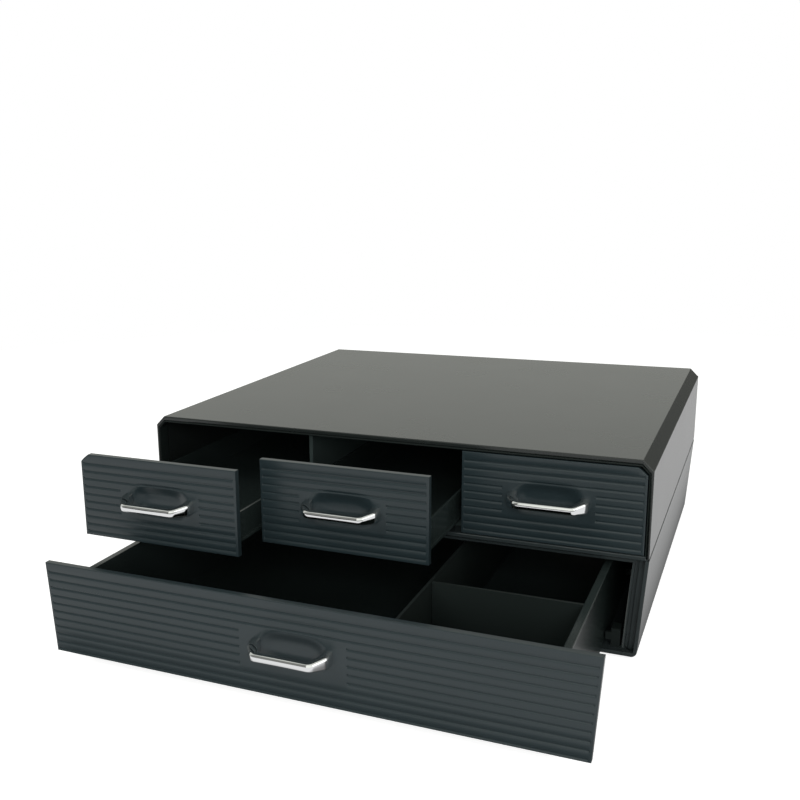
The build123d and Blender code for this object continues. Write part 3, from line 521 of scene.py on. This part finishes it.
def bow_handle(drawer):
    """Bow handle: the bar's section carried along the bow from foot to foot.

    Outer and inner edges in plan are polylines over the length along the bow, their bends rounded by
    averaging over a short window. At each station the bevel keeps its size, while the faces stretch
    to the section's own width and height there.
    """
    low, high = [np.array(c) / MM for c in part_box(f"{drawer}_drawer_handle")]
    centre_x, centre_z = (low[0] + high[0]) / 2, low[2] + HANDLE_HALF_HEIGHT
    along = merged_levels([steps(0, BOW_STATIONS[-1], STATION_STEP)] + [
        bend + steps(-BEND_REACH, BEND_REACH, BEND_STEP) for bend in BOW_STATIONS[1:3]], CLOSEST_STATIONS)
    along[-1] = BOW_STATIONS[-1]
    window = np.linspace(-BEND_WINDOW, BEND_WINDOW, BEND_SAMPLES)[None, :]
    sampled = along[:, None] + window * np.clip(along[:, None] / BEND_WINDOW, 0, 1)
    sampled = np.where(sampled > BOW_STATIONS[-1], 2 * BOW_STATIONS[-1] - sampled, sampled)

    def averaged(values):
        return np.interp(sampled, BOW_STATIONS, values).mean(axis=1)

    outer, inner = [np.stack([averaged(edge[:, 0]), averaged(edge[:, 1])], axis=-1)
                    for edge in (BOW_OUTER, BOW_INNER)]
    outer[-1, 0] = inner[-1, 0] = 0.0
    top, bottom = averaged(BOW_TOP), averaged(BOW_BOTTOM)
    outer, inner = [np.concatenate([e, e[-2::-1] * (-1, 1)]) for e in (outer, inner)]
    top, bottom = [np.concatenate([e, e[-2::-1]])[:, None] for e in (top, bottom)]

    across = np.linalg.norm(outer - inner, axis=1)[:, None]
    stretch = (top - bottom - BEVEL) / CROWN_HEIGHT
    low_edge, face, bevel, inner_top, inner_low = [part[None] for part in bow_section()]
    outer_side, inner_side = [np.concatenate(side, axis=1) for side in (
        (low_edge, face, bevel), (inner_top, inner_low))]
    u = np.concatenate([0 * across + outer_side[..., 0],
                        across - (BAR_THICKNESS - inner_side[..., 0])], axis=1)
    above = np.concatenate([outer_side, inner_side], axis=1)[..., 1]
    v = np.where(above > CROWN_HEIGHT, top - (CROWN_HEIGHT + BEVEL - above), bottom + above * stretch)
    direction = (outer - inner) / across
    plan = outer[:, None, :] - direction[:, None, :] * u[..., None]
    points = np.stack([centre_x + plan[..., 0], high[1] - plan[..., 1], centre_z + v], axis=-1)
    stations, around = points.shape[:2]
    faces = grid_faces(stations, around + 1)
    column, row = faces % (around + 1), faces // (around + 1)
    faces = (row * around + column % around).tolist()
    faces.append(np.arange(around)[::-1].tolist())
    faces.append(((stations - 1) * around + np.arange(around)).tolist())
    mesh = bpy.data.meshes.new(f"{drawer}_bow_handle")
    mesh.from_pydata((points.reshape(-1, 3) * MM).tolist(), [], faces)
    return finished_piece(mesh, chrome, HANDLE_TURN)


for drawer in front_pieces:
    handle = bow_handle(drawer)
    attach(handle, f"{drawer}_drawer")
    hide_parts(f"{drawer}_drawer_handle")

# ---------------------------------------------------------------- floor, world, lamps
FLOOR_RADIUS = 1.3   # metres
FLOOR_SIDES = 96
FLOOR_LIFT = 0.78    # light added to what the camera sees, so that the floor is white
# What mirrors see of the floor carries a painted shadow beneath and beside the object, for its contact
# shadow.
PAINTED_SHADOW_EDGE = 0.06     # painted shadow: mirrors see the floor dark beneath the object and bright from here on, metres
PAINTED_SHADOW_LEVEL, MIRRORED_FLOOR_LEVEL = 0.10, 0.92
# What mirrors see of the studio: two values of one measure of the direction, and the levels there.
STUDIO_PARTS = {
    "horizon_strip": (0.0, 0.10, 0.12, 0.69),       # over the height
    "black_flag": (0.955, 0.99, 1.0, 0.16),         # over the cosine with the flag's direction
    "front_share": (-0.42, -0.08, 1.0, 0.0),        # over the depth; the room in front takes over here
    "wall_to_window": (-0.28, -0.18, 0.34, 1.6),    # sideways
}
FLAG_DIRECTION = (0.30, 0.944, 0.14)                # about one long
SOFT_LIGHT = 0.46                                   # level of the light that falls on matt surfaces
WHITE, WARM_WHITE = (1.0, 1.0, 1.0, 1.0), (0.98, 1.0, 0.93, 1.0)


def mirrored_rays(tree, rays):
    """1 for a ray that left a glossy or clear surface."""
    return add_node(tree, "ShaderNodeMath", {
        0: rays.outputs["Is Glossy Ray"], 1: rays.outputs["Is Transmission Ray"]},
        operation="MAXIMUM").outputs[0]


def pale_floor():
    """Flat round table top, one face, matt white, with the object's shadow on it.

    A camera sees it lifted to white. A mirrored ray sees the floor glow with a painted shadow: bright
    away from the object, dark beneath and close beside it.
    """
    turn = np.linspace(0, 2 * math.pi, FLOOR_SIDES, endpoint=False)
    points = FLOOR_RADIUS * np.stack([np.cos(turn), np.sin(turn), 0 * turn], axis=-1)
    mesh = bpy.data.meshes.new("floor")
    mesh.from_pydata(points.tolist(), [], [list(range(FLOOR_SIDES))])
    floor = bpy.data.objects.new("floor", mesh)
    bpy.context.scene.collection.objects.link(floor)

    front_line, tray_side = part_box("wide_drawer_front")[0][1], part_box("wide_drawer_tray")[1][0]
    material, tree, place = new_material("matt_white_table")
    rays = add_node(tree, "ShaderNodeLightPath")
    axes = add_node(tree, "ShaderNodeSeparateXYZ", {"Vector": place})
    sideways = add_node(tree, "ShaderNodeMath", {0: axes.outputs["X"]}, operation="ABSOLUTE")
    beside = add_node(tree, "ShaderNodeMath", {
        0: sideways.outputs[0], 1: tray_side}, operation="SUBTRACT")
    before = add_node(tree, "ShaderNodeMath", {
        0: front_line, 1: axes.outputs["Y"]}, operation="SUBTRACT")
    away = add_node(tree, "ShaderNodeMath", {
        0: beside.outputs[0], 1: before.outputs[0]}, operation="MAXIMUM")
    # Painted shadow: the floor that mirrors see darkens towards the object, standing in for the shadow it
    # casts.
    shadowed_mirror_level = add_node(tree, "ShaderNodeMapRange", {
        "Value": away.outputs[0], "From Min": 0.0, "From Max": PAINTED_SHADOW_EDGE,
        "To Min": PAINTED_SHADOW_LEVEL, "To Max": MIRRORED_FLOOR_LEVEL}, interpolation_type="SMOOTHSTEP")
    mirrored_floor = add_node(tree, "ShaderNodeEmission", {
        "Color": WHITE, "Strength": shadowed_mirror_level.outputs["Result"]})
    lift = add_node(tree, "ShaderNodeMath", {
        0: rays.outputs["Is Camera Ray"], 1: FLOOR_LIFT}, operation="MULTIPLY")
    paper = add_node(tree, "ShaderNodeEmission", {"Color": WHITE, "Strength": lift.outputs[0]})
    matt = add_node(tree, "ShaderNodeBsdfDiffuse", {"Color": linear("#c8c8c8")})
    lit = add_node(tree, "ShaderNodeAddShader", {0: matt.outputs[0], 1: paper.outputs[0]})
    seen = add_node(tree, "ShaderNodeMixShader", {
        0: mirrored_rays(tree, rays), 1: lit.outputs[0], 2: mirrored_floor.outputs[0]})
    add_node(tree, "ShaderNodeOutputMaterial", {"Surface": seen.outputs[0]})
    mesh.materials.append(material)


def studio_world():
    """White seen directly. Mirrored: a pale room with a dark strip along the horizon, a black flag low
    behind the object, a dark wall at the front left and a bright window at the front right. Soft, even,
    slightly warm light for everything else."""
    world = bpy.data.worlds.new("studio")
    bpy.context.scene.world = world
    world.use_nodes = True
    tree = world.node_tree
    tree.nodes.clear()
    rays = add_node(tree, "ShaderNodeLightPath")
    direction = add_node(tree, "ShaderNodeTexCoord").outputs["Generated"]
    axes = add_node(tree, "ShaderNodeSeparateXYZ", {"Vector": direction})
    towards_flag = add_node(tree, "ShaderNodeVectorMath", {
        0: direction, 1: FLAG_DIRECTION}, operation="DOT_PRODUCT")
    measures = {
        "horizon_strip": axes.outputs["Z"], "black_flag": towards_flag.outputs["Value"],
        "front_share": axes.outputs["Y"], "wall_to_window": axes.outputs["X"]}
    levels = {}
    for part, (start, end, first, last) in STUDIO_PARTS.items():
        levels[part] = add_node(tree, "ShaderNodeMapRange", {
            "Value": measures[part], "From Min": start, "From Max": end,
            "To Min": first, "To Max": last}, interpolation_type="SMOOTHSTEP").outputs["Result"]
    behind = add_node(tree, "ShaderNodeMath", {
        0: levels["horizon_strip"], 1: levels["black_flag"]}, operation="MINIMUM")
    room = add_node(tree, "ShaderNodeMix", {
        "Factor": levels["front_share"], "A": 1.0, "B": levels["wall_to_window"]}, data_type="FLOAT")
    studio = add_node(tree, "ShaderNodeMath", {
        0: behind.outputs[0], 1: room.outputs["Result"]}, operation="MULTIPLY")
    unseen = add_node(tree, "ShaderNodeMix", {
        "Factor": mirrored_rays(tree, rays), "A": SOFT_LIGHT, "B": studio.outputs[0]}, data_type="FLOAT")
    seen = rays.outputs["Is Camera Ray"]
    level = add_node(tree, "ShaderNodeMix", {
        "Factor": seen, "A": unseen.outputs["Result"], "B": 1.0}, data_type="FLOAT")
    tint = add_node(tree, "ShaderNodeMix", {
        "Factor": seen, "A": WARM_WHITE, "B": WHITE}, data_type="RGBA")
    light = add_node(tree, "ShaderNodeBackground", {
        "Color": tint.outputs["Result"], "Strength": level.outputs["Result"]})
    add_node(tree, "ShaderNodeOutputWorld", {"Surface": light.outputs[0]})


def softbox(name, place, aim, size, power, mirrored):
    """Square lamp at a place, turned to face a point. One that isn't mirrored leaves no glint."""
    lamp = bpy.data.lights.new(name, "AREA")
    lamp.shape = "SQUARE"
    lamp.size = size
    lamp.energy = power
    light = bpy.data.objects.new(name, lamp)
    light.visible_glossy = mirrored
    towards = np.array(aim, dtype=float) - np.array(place, dtype=float)
    towards /= np.linalg.norm(towards)
    side = np.cross(towards, (0.0, 0.0, 1.0))
    side /= np.linalg.norm(side)
    turned = np.eye(4)
    turned[:3, 0], turned[:3, 1], turned[:3, 2] = side, np.cross(side, towards), -towards
    turned[:3, 3] = place
    light.matrix_world = Matrix(turned.tolist())
    bpy.context.scene.collection.objects.link(light)


SOFTBOXES = {   # name: place, aim, side in metres, watts, whether it is mirrored
    "key_softbox": ((-0.9, -1.3, 1.5), (0.0, -0.1, 0.05), 1.0, 12, False),
    "fill_softbox": ((1.5, -0.4, 1.1), (0.0, 0.0, 0.05), 1.2, 4, True),
    "front_softbox": ((0.66, -1.94, 0.76), (0.0, -0.05, 0.08), 0.8, 24, False),
}
pale_floor()
studio_world()
for name, settings in SOFTBOXES.items():
    softbox(name, *settings)
bpy.context.scene.view_settings.view_transform = "Standard"
